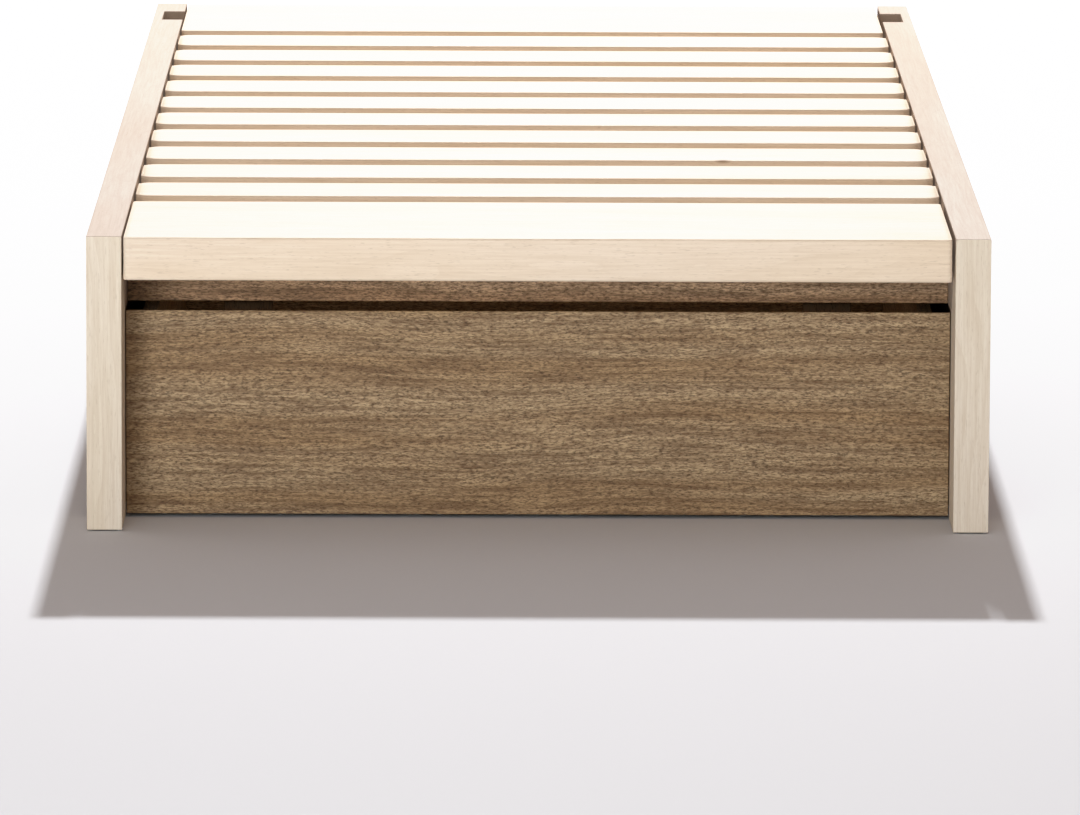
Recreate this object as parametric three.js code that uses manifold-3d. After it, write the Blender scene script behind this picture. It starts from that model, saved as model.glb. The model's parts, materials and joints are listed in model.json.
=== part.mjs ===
// A single platform bed: two mitred side frames, a slatted platform between them, and one wide
// drawer that rolls out of the foot end on four fixed castors.
// Millimetres. X runs across the bed, the foot end faces -Y, and Z is up from the floor.
// Left is -X, as someone standing at the foot end sees it.
import * as THREE from "three";
import { mergeVertices } from "three/addons/utils/BufferGeometryUtils.js";
import Module from "manifold-3d";

const wasm = await Module();
wasm.setup();

// Overall size, round a 900 x 2000 mattress
const LENGTH = 2020;
const WIDTH = 920;
const HEIGHT = 304;

// Clearances
const GLUE_GAP = 0.3; // between pieces that are glued or screwed together
const GROOVE_PLAY = 0.5; // round a panel in its groove, on each face and edge
const SLAT_END_GAP = 1.5; // between a slat's end and the side frame
const FRONT_SIDE_GAP = 1; // between the drawer front's end and the side frame
const RUNNING_GAP = 0.15; // round the castor axles, on the radius

// Side frames: a top rail mitred to two posts, a low rail, and a thin panel in their grooves
const SIDE_THICKNESS = 36;
const POST_WIDTH = 90;
const POST_FOOT_CHAMFER = 1;
const TOP_RAIL_HEIGHT = 90;
const LOW_RAIL_HEIGHT = 60;
const LOW_RAIL_LIFT = 12;
const INFILL_THICKNESS = 12;
const GROOVE_DEPTH = 10;

// Felt glides under the posts
const GLIDE_THICKNESS = 1;
const GLIDE_INSET = 4;
const GLIDE_CORNER = 5;

// Headboard sockets, cut down into the top rails and open to the inner face
const SOCKET_LENGTH = 85;
const SOCKET_DEPTH = 50;
const SOCKET_OUTER_WALL = 11;
const SOCKET_HEAD_WALL = 82;

// Slatted platform
const PLATFORM_DROP = 1; // of the slat tops below the side frames' tops
const SLAT_THICKNESS = 44;
const SLAT_WIDTH = 103;
const SLAT_COUNT = 10;
const END_BOARD_WIDTH = 270;
const SLAT_EDGE_RADIUS = 3;

// Cleats on the side frames, which carry the slats
const CLEAT_WIDTH = 25;
const CLEAT_HEIGHT = 40;

// Cross members
const FOOT_RAIL_RECESS = 157; // from the foot end to the rail's front face
const FOOT_RAIL_HEIGHT = 44;
const FOOT_RAIL_THICKNESS = 24;
const HEAD_PANEL_RECESS = 86;
const HEAD_PANEL_THICKNESS = 22;
const MIDDLE_PANEL_THICKNESS = 18;
const CROSS_MEMBER_LIFT = 12; // of the middle and head panels above the floor
const BOARD_EDGE_RADIUS = 1;

// Drawer front and box
const DRAWER_RECESS = 86; // from the foot end to the drawer's front face
const DRAWER_FRONT_THICKNESS = 22;
const DRAWER_FRONT_LIFT = 4;
const FINGER_BEVEL_DROP = 8; // from the drawer front's top down to where its bevel meets the back
const FINGER_BEVEL_LAND = 2; // the flat that is left along the top
const FINGER_OPENING = 43.5; // from the platform's underside down to the drawer front's top
const BOX_DEPTH = 950;
const BOX_WALL = 15;
const BOX_LIFT = 12;
const BOX_HEADROOM = 12; // from the box's top up to the foot rail
const BOX_FRONT_DROP = 30; // of the box front below the box sides, for the fingers
const BOTTOM_THICKNESS = 9;
const BOTTOM_GROOVE_DEPTH = 6;

// Waxed guide strips on the side frames, which keep the drawer straight
const GUIDE_THICKNESS = 12;
const GUIDE_HEIGHT = 30;
const GUIDE_LIFT = 25;
const GUIDE_PLAY = 3;
const GUIDE_SETBACK = 5; // of the guides' ends behind the drawer front

// Stop blocks behind the foot rail and rubber bumpers on the middle panel
const STOP_SPACING = 600;
const STOP_WIDTH = 50;
const STOP_THICKNESS = 18;
const STOP_HEIGHT = 57;
const STOP_LAP = 11; // of the block below the top of the drawer's back
const BUMPER_RADIUS = 8;
const BUMPER_LENGTH = 4;
const BUMPER_PLAY = 0.7;
const BUMPER_HEIGHT = 120;

// Fixed castors under the drawer bottom
const WHEEL_RADIUS = 20;
const WHEEL_WIDTH = 15;
const WHEEL_TREAD_ROUND = 3;
const WHEEL_DISH_DEPTH = 2;
const WHEEL_RIM_INNER = 15;
const WHEEL_HUB_RADIUS = 8;
const WHEEL_SIDE_GAP = 1.5;
const AXLE_RADIUS = 3;
const AXLE_HEAD_RADIUS = 5;
const AXLE_HEAD_THICKNESS = 2;
const FORK_THICKNESS = 2;
const FORK_LENGTH = 24;
const FORK_CLEARANCE = 2; // from the wheel up to the plate
const PLATE_THICKNESS = 2;
const PLATE_WIDTH = 50;
const PLATE_LENGTH = 60;
const CASTOR_INSET_X = 40; // from the box wall to the middle of a wheel
const CASTOR_INSET_Y = 80;

// Values that follow from the ones above
const FOOT = -LENGTH / 2;
const HEAD = LENGTH / 2;
const INNER_WIDTH = WIDTH - 2 * SIDE_THICKNESS;
const UNDERSIDE = HEIGHT - PLATFORM_DROP - SLAT_THICKNESS;
const SEAT = UNDERSIDE - GLUE_GAP;
const CROSS_WIDTH = INNER_WIDTH - 2 * GLUE_GAP;
const LOW_RAIL_TOP = LOW_RAIL_LIFT + LOW_RAIL_HEIGHT;
const FOOT_RAIL_BACK = FOOT + FOOT_RAIL_RECESS + FOOT_RAIL_THICKNESS;
const HEAD_PANEL_FRONT = HEAD - HEAD_PANEL_RECESS - HEAD_PANEL_THICKNESS;
const DRAWER_FACE = FOOT + DRAWER_RECESS;
const BOX_START = DRAWER_FACE + DRAWER_FRONT_THICKNESS + GLUE_GAP;
const BOX_END = BOX_START + BOX_DEPTH;
const BOX_TOP = SEAT - FOOT_RAIL_HEIGHT - BOX_HEADROOM;
const BOX_WIDTH = INNER_WIDTH - 2 * (GUIDE_THICKNESS + GUIDE_PLAY + GLUE_GAP);
const CASTOR_TOP = 2 * WHEEL_RADIUS + FORK_CLEARANCE + PLATE_THICKNESS;
const MIDDLE_PANEL_FRONT = BOX_END + BUMPER_PLAY + BUMPER_LENGTH + GLUE_GAP;

const maple = new THREE.MeshStandardMaterial({ color: 0xe6d7c3, roughness: 0.55, metalness: 0 });
const smokedOak = new THREE.MeshStandardMaterial({ color: 0x7d6349, roughness: 0.6, metalness: 0 });
const birchPly = new THREE.MeshStandardMaterial({ color: 0xd9c5a2, roughness: 0.6, metalness: 0 });
const steel = new THREE.MeshStandardMaterial({ color: 0xa3a6a8, roughness: 0.35, metalness: 1 });
const nylon = new THREE.MeshStandardMaterial({ color: 0x2e2f31, roughness: 0.45, metalness: 0 });
const rubber = new THREE.MeshStandardMaterial({ color: 0x1f1e1d, roughness: 0.85, metalness: 0 });
const felt = new THREE.MeshStandardMaterial({ color: 0x4a443e, roughness: 0.95, metalness: 0 });

// A named mesh in its place.
function piece(name, geometry, material, x, y, z) {
  const mesh = new THREE.Mesh(geometry, material);
  mesh.name = name;
  mesh.position.set(x, y, z);
  return mesh;
}

// A geometry as a solid that can be cut and joined.
function solid(geometry) {
  const bare = geometry.clone();
  bare.deleteAttribute("normal");
  bare.deleteAttribute("uv");
  const merged = mergeVertices(bare);
  const vertProperties = merged.getAttribute("position").array;
  const triVerts = new Uint32Array(merged.index.array);
  return new wasm.Manifold(new wasm.Mesh({ numProp: 3, vertProperties, triVerts }));
}

// A solid as a geometry again.
function geometryOf(body) {
  const mesh = body.getMesh();
  const geometry = new THREE.BufferGeometry();
  geometry.setAttribute("position", new THREE.BufferAttribute(mesh.vertProperties, 3));
  geometry.setIndex(new THREE.BufferAttribute(mesh.triVerts, 1));
  geometry.computeVertexNormals();
  return geometry;
}

// A geometry with the tools' shapes taken out of it.
function cut(geometry, ...tools) {
  return geometryOf(tools.reduce((rest, tool) => rest.subtract(solid(tool)), solid(geometry)));
}

// Several geometries joined into one body.
function join(first, ...others) {
  return geometryOf(others.reduce((sum, other) => sum.add(solid(other)), solid(first)));
}

// A block from its lowest to its highest coordinate on each axis.
function block([x0, x1], [y0, y1], [z0, z1]) {
  const geometry = new THREE.BoxGeometry(x1 - x0, y1 - y0, z1 - z0);
  return geometry.translate((x0 + x1) / 2, (y0 + y1) / 2, (z0 + z1) / 2);
}

// A span centred on a coordinate.
function span(centre, size) {
  return [centre - size / 2, centre + size / 2];
}

// An outline through points.
function outline(points) {
  return new THREE.Shape(points.map(([u, v]) => new THREE.Vector2(u, v)));
}

// A centred rectangle with round corners.
function roundedRectangle(width, height, radius) {
  const shape = new THREE.Shape();
  const u = width / 2 - radius;
  const v = height / 2 - radius;
  shape.absarc(u, v, radius, 0, Math.PI / 2);
  shape.absarc(-u, v, radius, Math.PI / 2, Math.PI);
  shape.absarc(-u, -v, radius, Math.PI, 1.5 * Math.PI);
  shape.absarc(u, -v, radius, 1.5 * Math.PI, 2 * Math.PI);
  return shape;
}

const ACROSS_X = new THREE.Matrix4().set(0, 0, 1, 0, 1, 0, 0, 0, 0, 1, 0, 0, 0, 0, 0, 1);
const ACROSS_Y = new THREE.Matrix4().set(1, 0, 0, 0, 0, 0, -1, 0, 0, 1, 0, 0, 0, 0, 0, 1);

// An outline drawn in Y and Z, given a thickness along X about x = 0.
function extrudeX(shape, thickness, curveSegments = 3) {
  const settings = { depth: thickness, bevelEnabled: false, curveSegments };
  const geometry = new THREE.ExtrudeGeometry(shape, settings);
  return geometry.translate(0, 0, -thickness / 2).applyMatrix4(ACROSS_X);
}

// An outline drawn in X and Z, given a thickness along Y about y = 0.
function extrudeY(shape, thickness, curveSegments = 3) {
  const settings = { depth: thickness, bevelEnabled: false, curveSegments };
  const geometry = new THREE.ExtrudeGeometry(shape, settings);
  return geometry.translate(0, 0, -thickness / 2).applyMatrix4(ACROSS_Y);
}

// A profile of [radius, distance along the axis] turned about the X axis.
function turnedX(profile, segments) {
  const points = profile.map(([radius, along]) => new THREE.Vector2(radius, along));
  return new THREE.LatheGeometry(points, segments).rotateZ(-Math.PI / 2);
}

// The space that the infill panel's groove takes, all round the opening of a side frame.
function grooveTool() {
  const y = [FOOT + POST_WIDTH - GROOVE_DEPTH, HEAD - POST_WIDTH + GROOVE_DEPTH];
  const z = [LOW_RAIL_TOP - GROOVE_DEPTH, HEIGHT - TOP_RAIL_HEIGHT + GROOVE_DEPTH];
  return block(span(0, INFILL_THICKNESS + 2 * GROOVE_PLAY), y, z);
}

function infillPanel() {
  const reach = GROOVE_DEPTH - GROOVE_PLAY;
  const y = [FOOT + POST_WIDTH - reach, HEAD - POST_WIDTH + reach];
  const z = [LOW_RAIL_TOP - reach, HEIGHT - TOP_RAIL_HEIGHT + reach];
  return block(span(0, INFILL_THICKNESS), y, z);
}

// The foot post stands on its glide, with its foot chamfered and its top mitred.
function footPost() {
  const back = FOOT + POST_WIDTH;
  const foot = GLIDE_THICKNESS + GLUE_GAP;
  const shape = outline([
    [FOOT + POST_FOOT_CHAMFER, foot],
    [back - POST_FOOT_CHAMFER, foot],
    [back, foot + POST_FOOT_CHAMFER],
    [back, HEIGHT - TOP_RAIL_HEIGHT],
    [FOOT, HEIGHT],
    [FOOT, foot + POST_FOOT_CHAMFER],
  ]);
  return cut(extrudeX(shape, SIDE_THICKNESS), grooveTool());
}

// The top rail, mitred at both ends, with the headboard socket in its inner side.
function topRail(inward) {
  const shape = outline([
    [FOOT + POST_WIDTH + GLUE_GAP, HEIGHT - TOP_RAIL_HEIGHT],
    [HEAD - POST_WIDTH - GLUE_GAP, HEIGHT - TOP_RAIL_HEIGHT],
    [HEAD - GLUE_GAP, HEIGHT],
    [FOOT + GLUE_GAP, HEIGHT],
  ]);
  const socketEnd = HEAD - SOCKET_HEAD_WALL;
  const socket = block(
    span(inward * SOCKET_OUTER_WALL, SIDE_THICKNESS),
    [socketEnd - SOCKET_LENGTH, socketEnd],
    [HEIGHT - SOCKET_DEPTH, HEIGHT + SOCKET_DEPTH],
  );
  return cut(extrudeX(shape, SIDE_THICKNESS), grooveTool(), socket);
}

function lowRail() {
  const y = [FOOT + POST_WIDTH + GLUE_GAP, HEAD - POST_WIDTH - GLUE_GAP];
  return cut(block(span(0, SIDE_THICKNESS), y, [LOW_RAIL_LIFT, LOW_RAIL_TOP]), grooveTool());
}

function glide() {
  const width = SIDE_THICKNESS - 2 * GLIDE_INSET;
  const shape = roundedRectangle(width, POST_WIDTH - 2 * GLIDE_INSET, GLIDE_CORNER);
  return new THREE.ExtrudeGeometry(shape, { depth: GLIDE_THICKNESS, bevelEnabled: false, curveSegments: 4 });
}

// A strip fixed to the inner face of a side frame.
function innerStrip(inward, thickness, [y0, y1], [z0, z1]) {
  const middle = inward * (SIDE_THICKNESS / 2 + GLUE_GAP + thickness / 2);
  return block(span(middle, thickness), [y0, y1], [z0, z1]);
}

// One side of the bed; inward is +1 where the middle of the bed lies towards +X.
function sideFrame(side, inward) {
  const frame = new THREE.Group();
  frame.position.x = (-inward * (WIDTH - SIDE_THICKNESS)) / 2;
  frame.add(piece(`${side}_foot_post`, footPost(), maple, 0, 0, 0));
  const headPost = piece(`${side}_head_post`, footPost(), maple, 0, 0, 0);
  headPost.rotation.z = Math.PI;
  frame.add(headPost);
  frame.add(piece(`${side}_top_rail`, topRail(inward), maple, 0, 0, 0));
  frame.add(piece(`${side}_low_rail`, lowRail(), maple, 0, 0, 0));
  frame.add(piece(`${side}_infill_panel`, infillPanel(), maple, 0, 0, 0));
  const postMiddle = LENGTH / 2 - POST_WIDTH / 2;
  frame.add(piece(`${side}_foot_glide`, glide(), felt, 0, -postMiddle, 0));
  frame.add(piece(`${side}_head_glide`, glide(), felt, 0, postMiddle, 0));

  const cleatSpan = [FOOT_RAIL_BACK + GLUE_GAP, HEAD_PANEL_FRONT - GLUE_GAP];
  const cleat = innerStrip(inward, CLEAT_WIDTH, cleatSpan, [SEAT - CLEAT_HEIGHT, SEAT]);
  frame.add(piece(`${side}_slat_cleat`, cleat, maple, 0, 0, 0));
  const guideSpan = [BOX_START + GUIDE_SETBACK, MIDDLE_PANEL_FRONT - GLUE_GAP];
  const guide = innerStrip(inward, GUIDE_THICKNESS, guideSpan, [GUIDE_LIFT, GUIDE_LIFT + GUIDE_HEIGHT]);
  frame.add(piece(`${side}_drawer_guide`, guide, maple, 0, 0, 0));
  return frame;
}

// A board that lies across the bed, with its long edges rounded.
function crossBoard(length, depth, height, radius) {
  return extrudeX(roundedRectangle(depth, height, radius), length);
}

// The two wide end boards and the narrow slats between them, evenly spaced.
function platform() {
  const group = new THREE.Group();
  group.position.z = UNDERSIDE + SLAT_THICKNESS / 2;
  const slatLength = INNER_WIDTH - 2 * SLAT_END_GAP;
  const endBoard = () => crossBoard(slatLength, END_BOARD_WIDTH, SLAT_THICKNESS, SLAT_EDGE_RADIUS);
  const endMiddle = (LENGTH - END_BOARD_WIDTH) / 2;
  group.add(piece("foot_board", endBoard(), maple, 0, -endMiddle, 0));
  group.add(piece("head_board", endBoard(), maple, 0, endMiddle, 0));

  const gap = (LENGTH - 2 * END_BOARD_WIDTH - SLAT_COUNT * SLAT_WIDTH) / (SLAT_COUNT + 1);
  for (let i = 0; i < SLAT_COUNT; i += 1) {
    const name = `slat_${String(i + 1).padStart(2, "0")}`;
    const y = (i - (SLAT_COUNT - 1) / 2) * (SLAT_WIDTH + gap);
    const slat = crossBoard(slatLength, SLAT_WIDTH, SLAT_THICKNESS, SLAT_EDGE_RADIUS);
    group.add(piece(name, slat, maple, 0, y, 0));
  }
  return group;
}

// The middle panel is notched round the cleats, which run past it.
function middlePanel() {
  const half = CROSS_WIDTH / 2;
  const notch = CLEAT_WIDTH + 2 * GLUE_GAP;
  const shoulder = SEAT - CLEAT_HEIGHT - GLUE_GAP;
  const shape = outline([
    [-half, CROSS_MEMBER_LIFT],
    [half, CROSS_MEMBER_LIFT],
    [half, shoulder],
    [half - notch, shoulder],
    [half - notch, SEAT],
    [-half + notch, SEAT],
    [-half + notch, shoulder],
    [-half, shoulder],
  ]);
  return extrudeY(shape, MIDDLE_PANEL_THICKNESS);
}

// The members that tie the side frames together, with the drawer's stops and bumpers on them.
function crossMembers() {
  const group = new THREE.Group();
  const footRail = crossBoard(CROSS_WIDTH, FOOT_RAIL_THICKNESS, FOOT_RAIL_HEIGHT, BOARD_EDGE_RADIUS);
  const footRailY = FOOT_RAIL_BACK - FOOT_RAIL_THICKNESS / 2;
  group.add(piece("foot_rail", footRail, smokedOak, 0, footRailY, SEAT - FOOT_RAIL_HEIGHT / 2));

  const headPanelHeight = SEAT - CROSS_MEMBER_LIFT;
  const headPanel = crossBoard(CROSS_WIDTH, HEAD_PANEL_THICKNESS, headPanelHeight, BOARD_EDGE_RADIUS);
  const headPanelY = HEAD_PANEL_FRONT + HEAD_PANEL_THICKNESS / 2;
  group.add(piece("head_panel", headPanel, smokedOak, 0, headPanelY, SEAT - headPanelHeight / 2));

  const middleY = MIDDLE_PANEL_FRONT + MIDDLE_PANEL_THICKNESS / 2;
  group.add(piece("middle_panel", middlePanel(), birchPly, 0, middleY, 0));

  for (const [side, sign] of [["left", -1], ["right", 1]]) {
    const x = (sign * STOP_SPACING) / 2;
    const stop = block(span(0, STOP_WIDTH), [0, STOP_THICKNESS], [0, STOP_HEIGHT]);
    const stopY = FOOT_RAIL_BACK + GLUE_GAP;
    group.add(piece(`${side}_drawer_stop`, stop, smokedOak, x, stopY, BOX_TOP - STOP_LAP));
    const bumper = new THREE.CylinderGeometry(BUMPER_RADIUS, BUMPER_RADIUS, BUMPER_LENGTH, 24);
    const bumperY = MIDDLE_PANEL_FRONT - GLUE_GAP - BUMPER_LENGTH / 2;
    group.add(piece(`${side}_closing_bumper`, bumper, rubber, x, bumperY, BUMPER_HEIGHT));
  }
  return group;
}

// The bracket of a castor about its axle: a screw plate with two legs that carry the axle.
function castorBracket() {
  const plateTop = CASTOR_TOP - WHEEL_RADIUS;
  const leg = new THREE.Shape();
  leg.moveTo(FORK_LENGTH / 2, plateTop - PLATE_THICKNESS / 2);
  leg.lineTo(-FORK_LENGTH / 2, plateTop - PLATE_THICKNESS / 2);
  leg.lineTo(-AXLE_HEAD_RADIUS - FORK_THICKNESS, 0);
  leg.absarc(0, 0, AXLE_HEAD_RADIUS + FORK_THICKNESS, Math.PI, 2 * Math.PI);
  const hole = new THREE.Path().absarc(0, 0, AXLE_RADIUS + RUNNING_GAP, 0, 2 * Math.PI, true);
  leg.holes.push(hole);
  const legX = WHEEL_WIDTH / 2 + WHEEL_SIDE_GAP + FORK_THICKNESS / 2;
  const legs = [-legX, legX].map((x) => extrudeX(leg, FORK_THICKNESS, 10).translate(x, 0, 0));
  const plateZ = [plateTop - PLATE_THICKNESS, plateTop];
  return join(block(span(0, PLATE_WIDTH), span(0, PLATE_LENGTH), plateZ), ...legs);
}

// A riveted axle: a pin with a flat head outside each leg.
function castorAxle() {
  const pin = WHEEL_WIDTH / 2 + WHEEL_SIDE_GAP + FORK_THICKNESS + GLUE_GAP;
  const end = pin + AXLE_HEAD_THICKNESS;
  const profile = [
    [0, -end],
    [AXLE_HEAD_RADIUS, -end],
    [AXLE_HEAD_RADIUS, -pin],
    [AXLE_RADIUS, -pin],
    [AXLE_RADIUS, pin],
    [AXLE_HEAD_RADIUS, pin],
    [AXLE_HEAD_RADIUS, end],
    [0, end],
  ];
  return turnedX(profile, 24);
}

// A solid wheel with a round-edged tread and dished faces.
function castorWheel() {
  const bore = AXLE_RADIUS + RUNNING_GAP;
  const face = WHEEL_WIDTH / 2;
  const dish = face - WHEEL_DISH_DEPTH;
  const shoulder = WHEEL_RADIUS - WHEEL_TREAD_ROUND;
  const half = [
    [WHEEL_RADIUS, face - WHEEL_TREAD_ROUND],
    [shoulder, face],
    [WHEEL_RIM_INNER, face],
    [WHEEL_RIM_INNER - WHEEL_DISH_DEPTH, dish],
    [WHEEL_HUB_RADIUS + WHEEL_DISH_DEPTH, dish],
    [WHEEL_HUB_RADIUS, face],
    [bore, face],
  ];
  const mirrored = half.map(([radius, along]) => [radius, -along]).reverse();
  return turnedX([...mirrored, ...half, mirrored[0]], 32);
}

// A castor whose group sits on its axle's line, so that the wheel just reaches the floor.
function castor(place, x, y) {
  const group = new THREE.Group();
  group.position.set(x, y, WHEEL_RADIUS);
  group.add(piece(`${place}_castor_bracket`, castorBracket(), steel, 0, 0, 0));
  group.add(piece(`${place}_castor_axle`, castorAxle(), steel, 0, 0, 0));
  group.add(piece(`${place}_castor_wheel`, castorWheel(), nylon, 0, 0, 0));
  return group;
}

// What is planed off the drawer front's top, so that it slopes down to the back for the fingers.
function fingerBevel(length, height) {
  const back = DRAWER_FRONT_THICKNESS / 2;
  const start = FINGER_BEVEL_LAND - back;
  const top = height / 2;
  const slope = FINGER_BEVEL_DROP / (back - start);
  const past = back + 1;
  const low = top - slope * (past - start);
  return extrudeX(outline([[start, top], [past, low], [past, top + 1], [start, top + 1]]), length + 2);
}

// The drawer: an open box on castors, with the dark front fixed to its foot side.
function drawer() {
  const group = new THREE.Group();
  const frontTop = UNDERSIDE - FINGER_OPENING;
  const frontHeight = frontTop - DRAWER_FRONT_LIFT;
  const frontWidth = INNER_WIDTH - 2 * FRONT_SIDE_GAP;
  const board = crossBoard(frontWidth, DRAWER_FRONT_THICKNESS, frontHeight, BOARD_EDGE_RADIUS);
  const front = cut(board, fingerBevel(frontWidth, frontHeight));
  const frontY = DRAWER_FACE + DRAWER_FRONT_THICKNESS / 2;
  group.add(piece("drawer_front", front, smokedOak, 0, frontY, frontTop - frontHeight / 2));

  const innerHalf = BOX_WIDTH / 2 - BOX_WALL;
  const bottomZ = [CASTOR_TOP + GLUE_GAP, CASTOR_TOP + GLUE_GAP + BOTTOM_THICKNESS];
  const grooveReach = BOTTOM_GROOVE_DEPTH + GROOVE_PLAY;
  const groove = block(
    span(0, 2 * (innerHalf + grooveReach)),
    [BOX_START + BOX_WALL - grooveReach, BOX_END - BOX_WALL + grooveReach],
    [bottomZ[0] - GROOVE_PLAY / 2, bottomZ[1] + GROOVE_PLAY / 2],
  );
  const bottom = block(
    span(0, 2 * (innerHalf + BOTTOM_GROOVE_DEPTH)),
    [BOX_START + BOX_WALL - BOTTOM_GROOVE_DEPTH, BOX_END - BOX_WALL + BOTTOM_GROOVE_DEPTH],
    bottomZ,
  );
  group.add(piece("drawer_bottom", bottom, smokedOak, 0, 0, 0));

  for (const [side, sign] of [["left", -1], ["right", 1]]) {
    const x = span(sign * (innerHalf + BOX_WALL / 2), BOX_WALL);
    const wall = block(x, [BOX_START, BOX_END], [BOX_LIFT, BOX_TOP]);
    group.add(piece(`drawer_${side}_side`, cut(wall, groove), smokedOak, 0, 0, 0));
  }
  const endSpan = span(0, 2 * (innerHalf - GLUE_GAP));
  const boxFront = block(endSpan, [BOX_START, BOX_START + BOX_WALL], [BOX_LIFT, BOX_TOP - BOX_FRONT_DROP]);
  group.add(piece("drawer_box_front", cut(boxFront, groove), smokedOak, 0, 0, 0));
  const boxBack = block(endSpan, [BOX_END - BOX_WALL, BOX_END], [BOX_LIFT, BOX_TOP]);
  group.add(piece("drawer_back", cut(boxBack, groove), smokedOak, 0, 0, 0));

  const castorX = innerHalf - CASTOR_INSET_X;
  group.add(castor("front_left", -castorX, BOX_START + CASTOR_INSET_Y));
  group.add(castor("front_right", castorX, BOX_START + CASTOR_INSET_Y));
  group.add(castor("rear_left", -castorX, BOX_END - CASTOR_INSET_Y));
  group.add(castor("rear_right", castorX, BOX_END - CASTOR_INSET_Y));
  return group;
}

const bed = new THREE.Group();
bed.add(sideFrame("left", 1), sideFrame("right", -1), platform(), crossMembers(), drawer());
export default bed;
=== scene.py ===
"""A single platform bed with a roll-out drawer: its wood, hardware and studio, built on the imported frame.

Everything is in metres in the frame's own axes: X across the bed, the foot end facing -Y, Z up.
"""

import json
import logging
import math
import random
from collections.abc import Callable
from dataclasses import dataclass, field, replace
from enum import Enum
from functools import cache, partial
from typing import Any

import bmesh
import bpy
from mathutils import Matrix, Vector


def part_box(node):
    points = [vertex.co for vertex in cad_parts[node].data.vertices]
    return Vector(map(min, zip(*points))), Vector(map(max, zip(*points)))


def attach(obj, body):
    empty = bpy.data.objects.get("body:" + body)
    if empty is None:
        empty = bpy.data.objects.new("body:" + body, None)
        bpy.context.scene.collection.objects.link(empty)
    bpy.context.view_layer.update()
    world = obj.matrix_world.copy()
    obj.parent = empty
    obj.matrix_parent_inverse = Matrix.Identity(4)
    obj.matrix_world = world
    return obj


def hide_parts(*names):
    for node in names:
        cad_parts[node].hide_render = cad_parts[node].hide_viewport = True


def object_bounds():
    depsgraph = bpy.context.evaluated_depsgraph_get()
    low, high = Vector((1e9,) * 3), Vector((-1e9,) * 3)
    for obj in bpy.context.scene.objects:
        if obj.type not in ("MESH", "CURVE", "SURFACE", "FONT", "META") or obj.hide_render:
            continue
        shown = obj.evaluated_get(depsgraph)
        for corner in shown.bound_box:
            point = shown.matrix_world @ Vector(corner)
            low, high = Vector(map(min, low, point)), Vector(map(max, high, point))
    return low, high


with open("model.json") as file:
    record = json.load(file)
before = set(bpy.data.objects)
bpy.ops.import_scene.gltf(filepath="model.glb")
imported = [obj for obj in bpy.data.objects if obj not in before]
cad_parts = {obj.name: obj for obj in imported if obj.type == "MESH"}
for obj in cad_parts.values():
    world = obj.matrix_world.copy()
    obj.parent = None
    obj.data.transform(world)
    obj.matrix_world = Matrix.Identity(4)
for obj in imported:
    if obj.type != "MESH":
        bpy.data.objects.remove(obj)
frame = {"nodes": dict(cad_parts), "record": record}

MM = 0.001
LOG = logging.getLogger("bed")
CAD_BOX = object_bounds()
BODY_OF = {node: body for body, nodes in frame["record"]["behaviour"]["bodies"].items() for node in nodes}
SIDES = ("left", "right")
BOARD_SHIFT = "board_shift"
TRUNK_REACH = (4.0, 0.05, 0.05)
SMOOTH_UNDER = math.radians(35)

Tree = bpy.types.NodeTree
Node = bpy.types.Node
Adder = Callable[..., Node]
Socket = bpy.types.NodeSocket
Material = bpy.types.Material
Mesh = bpy.types.Mesh
Piece = bpy.types.Object
Pair = tuple[float, float]
Triple = tuple[float, float, float]


# ---- Colours and nodes ----


def linear(colour: str) -> tuple[float, float, float, float]:
    """Turns an sRGB hex colour into linear RGBA.

    Args:
        colour: six hex digits, with or without a leading hash.

    Returns:
        Linear red, green and blue, and an alpha of one.
    """
    digits = colour.lstrip("#")
    channels = [int(digits[i : i + 2], 16) / 255 for i in (0, 2, 4)]
    return (*[c / 12.92 if c <= 0.04045 else ((c + 0.055) / 1.055) ** 2.4 for c in channels], 1.0)


def add_node(tree: Tree, kind: str, inputs: dict | None = None, **settings: Any) -> Node:
    """Adds a node, sets its properties, and fills or links its inputs.

    Args:
        tree: the node tree that the node goes in.
        kind: the node's type name.
        inputs: for each input, by name or by number, a value, an output socket, or a node for its first output.
        settings: the node's own properties.

    Returns:
        The new node.
    """
    node = tree.nodes.new(kind)
    for name, value in settings.items():
        setattr(node, name, value)
    for key, value in (inputs or {}).items():
        if isinstance(value, Node):
            value = value.outputs[0]
        if isinstance(value, Socket):
            tree.links.new(value, node.inputs[key])
        else:
            node.inputs[key].default_value = value
    return node


def new_material(name: str) -> tuple[Material, Adder]:
    """Makes an empty node material.

    Args:
        name: what the material is and how it was made.

    Returns:
        The material, and add_node for its tree.
    """
    material = bpy.data.materials.new(name)
    material.use_nodes = True
    material.node_tree.nodes.clear()
    return material, partial(add_node, material.node_tree)


class Grain(Enum):
    """The axis that a board's fibres run along, as the turn that brings it onto X."""

    ACROSS = (0.0, 0.0, 0.0)
    LENGTHWISE = (0.0, 0.0, -math.pi / 2)
    UPRIGHT = (0.0, math.pi / 2, 0.0)


# ---- Finishes ----


@dataclass(frozen=True)
class Pattern:
    """A pattern's real size along and across the fibres, and how strongly it colours the wood.

    It begins to show where its noise passes `low`, and is at its full strength from `high` on.
    """

    length_mm: float
    width_mm: float
    strength: float = 1.0
    detail: float = 2.0
    low: float = 0.35
    high: float = 0.7

    @classmethod
    def whole(cls, strength: float) -> "Pattern":
        """Describes a layer whose value already runs from zero to one, so that it needs no size."""
        return cls(0.0, 0.0, strength, low=0.0, high=1.0)


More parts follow.
